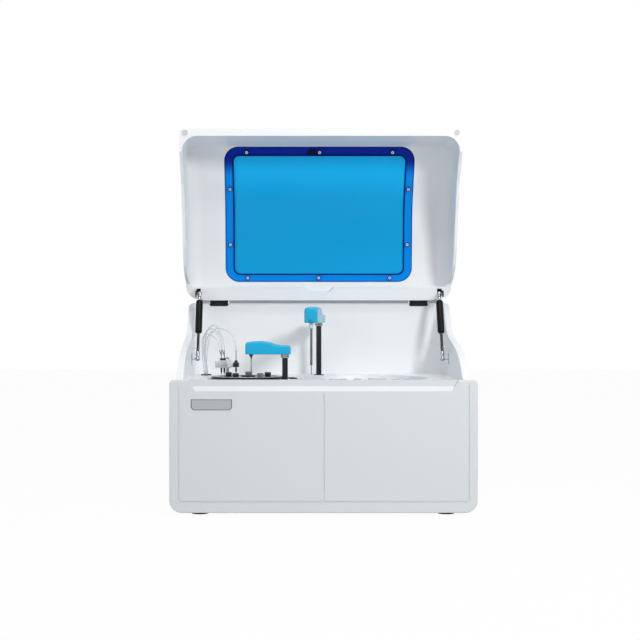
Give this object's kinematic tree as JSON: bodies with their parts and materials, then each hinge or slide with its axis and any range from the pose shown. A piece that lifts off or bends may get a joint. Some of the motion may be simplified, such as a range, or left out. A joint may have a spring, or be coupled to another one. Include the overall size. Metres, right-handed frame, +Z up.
{
  "type": "chemistry analyzer",
  "caption": "Benchtop chemistry analyzer with a hinged windowed lid on gas struts, reaction and reagent discs, mixer and probe arms and a wash station.",
  "frame": {"origin": "bench top, at the centre of the footprint", "axes": "+X to the right of a user in front, +Y to the rear, +Z up"},
  "size_m": [0.78, 0.562, 1.018],
  "materials": {
    "white_plastic": "fine satin",
    "deck_coating": "satin",
    "badge_metal": "brushed",
    "black_rubber": "matte",
    "coated_steel": "fine texture",
    "blue_window": "tinted acrylic",
    "bright_steel": "polished",
    "black_steel": "satin",
    "black_plastic": "satin",
    "clear_plastic": "clear",
    "grey_plastic": "satin",
    "aluminium": "satin",
    "blue_plastic": "gloss"
  },
  "bodies": {
    "housing": {"back_panel": "white_plastic", "badge_plate": "badge_metal", "base_tray": "coated_steel", "deck_frame": "coated_steel", "deck_plate": "deck_coating", "disc_motors": "black_steel", "electronics": "aluminium", "fan_frame": "black_plastic", "fluid_ports": "grey_plastic", "front_cover": "white_plastic", "hinge_brackets": "black_steel", "left_side_cover": "white_plastic", "mains_inlet": "black_plastic", "mixer_guide": "black_plastic", "photometer": "black_plastic", "probe_guide": "black_plastic", "reaction_bath": "bright_steel", "reagent_tub": "aluminium", "rear_cover": "coated_steel", "right_side_cover": "white_plastic", "rubber_feet": "black_rubber", "strut_lower_studs": "bright_steel", "syringe_pumps": "aluminium", "tube_grommet": "black_rubber", "wash_post": "bright_steel", "wash_wells": "black_plastic"},
    "lid": {"lid_shell": "white_plastic", "lid_window": "blue_window", "window_screws": "bright_steel", "lid_bumpers": "black_rubber", "hinge_leaves": "black_steel", "strut_upper_brackets": "black_steel"},
    "left_rod": {"left_strut_rod": "bright_steel"},
    "left_tube": {"left_strut_tube": "black_steel"},
    "right_rod": {"right_strut_rod": "bright_steel"},
    "right_tube": {"right_strut_tube": "black_steel"},
    "mixer_hub": {"mixer_wheel": "black_plastic"},
    "mixer_arm": {"mixer_arm_cover": "blue_plastic", "mixer_column": "black_steel"},
    "mixer_rod": {"mixer_tool": "bright_steel"},
    "probe_hub": {"probe_wheel": "black_plastic"},
    "probe_arm": {"probe_arm_cover": "blue_plastic", "probe_column": "black_steel", "probe_tool": "bright_steel"},
    "wash": {"wash_head": "grey_plastic", "wash_needles": "bright_steel", "wash_tube_1": "clear_plastic", "wash_tube_2": "clear_plastic", "wash_tube_3": "clear_plastic", "wash_tube_4": "clear_plastic", "wash_tube_5": "clear_plastic"},
    "reaction": {"reaction_disc": "black_plastic", "cuvettes": "clear_plastic", "disc_knobs": "black_plastic"},
    "reagent": {"reagent_disc": "grey_plastic", "sample_cups": "clear_plastic", "reagent_bottles": "clear_plastic"},
    "fan": {"fan_rotor": "black_plastic"},
    "rocker": {"switch_rocker": "black_plastic"},
    "plungers": {"syringe_plungers": "grey_plastic"}
  },
  "joints": [
    {"name": "lid_hinge", "type": "hinge", "parent": "housing", "child": "lid", "pos_m": [0, 0.225, 0.551], "axis": [-1, 0, 0], "range_deg": [-84, 0]},
    {"name": "left_strut_swing", "type": "hinge", "parent": "housing", "child": "left_rod", "pos_m": [-0.343, 0.065, 0.388], "axis": [-1, 0, 0], "range_deg": [0, 31]},
    {"name": "left_strut_stroke", "type": "slide", "parent": "left_rod", "child": "left_tube", "axis": [0, 0.4194, 0.9078], "range_m": [-0.044, 0]},
    {"name": "right_strut_swing", "type": "hinge", "parent": "housing", "child": "right_rod", "pos_m": [0.343, 0.065, 0.388], "axis": [-1, 0, 0], "range_deg": [0, 31]},
    {"name": "right_strut_stroke", "type": "slide", "parent": "right_rod", "child": "right_tube", "axis": [0, 0.4194, 0.9078], "range_m": [-0.044, 0]},
    {"name": "mixer_turn", "type": "hinge", "parent": "housing", "child": "mixer_hub", "pos_m": [-0.09776, -0.19037, 0.22], "axis": [0, 0, 1], "range_deg": [-105, 0]},
    {"name": "mixer_lift", "type": "slide", "parent": "mixer_hub", "child": "mixer_arm", "axis": [0, 0, 1], "range_m": [-0.035, 0]},
    {"name": "mixer_spin", "type": "hinge", "parent": "mixer_arm", "child": "mixer_rod", "pos_m": [-0.18576, -0.19037, 0.38], "axis": [0, 0, 1], "continuous": true},
    {"name": "probe_turn", "type": "hinge", "parent": "housing", "child": "probe_hub", "pos_m": [-0.002, 0.14, 0.22], "axis": [0, 0, 1], "range_deg": [-31.8, 9.2]},
    {"name": "probe_lift", "type": "slide", "parent": "probe_hub", "child": "probe_arm", "axis": [0, 0, 1], "range_m": [-0.027, 0]},
    {"name": "wash_lift", "type": "slide", "parent": "housing", "child": "wash", "axis": [0, 0, 1], "range_m": [-0.018, 0], "deforming": ["wash_tube_1", "wash_tube_2", "wash_tube_3", "wash_tube_4", "wash_tube_5"]},
    {"name": "reaction_turn", "type": "hinge", "parent": "housing", "child": "reaction", "pos_m": [-0.196, -0.107, 0.345], "axis": [0, 0, 1], "continuous": true},
    {"name": "reagent_turn", "type": "hinge", "parent": "housing", "child": "reagent", "pos_m": [0.118, -0.075, 0.3], "axis": [0, 0, 1], "continuous": true},
    {"name": "fan_spin", "type": "hinge", "parent": "housing", "child": "fan", "pos_m": [0.285, 0.25, 0.12], "axis": [0, 1, 0], "continuous": true},
    {"name": "rocker_tilt", "type": "hinge", "parent": "housing", "child": "rocker", "pos_m": [-0.295, 0.261, 0.07], "axis": [1, 0, 0], "range_deg": [0, 8]},
    {"name": "plunger_stroke", "type": "slide", "parent": "housing", "child": "plungers", "axis": [0, 0, 1], "range_m": [0, 0.026]}
  ],
  "couplings": [
    {"joint": "left_strut_swing", "follows": "lid_hinge", "ratio": -0.3643},
    {"joint": "left_strut_stroke", "follows": "lid_hinge", "m_per_rad": 0.029467},
    {"joint": "right_strut_swing", "follows": "lid_hinge", "ratio": -0.3643},
    {"joint": "right_strut_stroke", "follows": "lid_hinge", "m_per_rad": 0.029467}
  ]
}
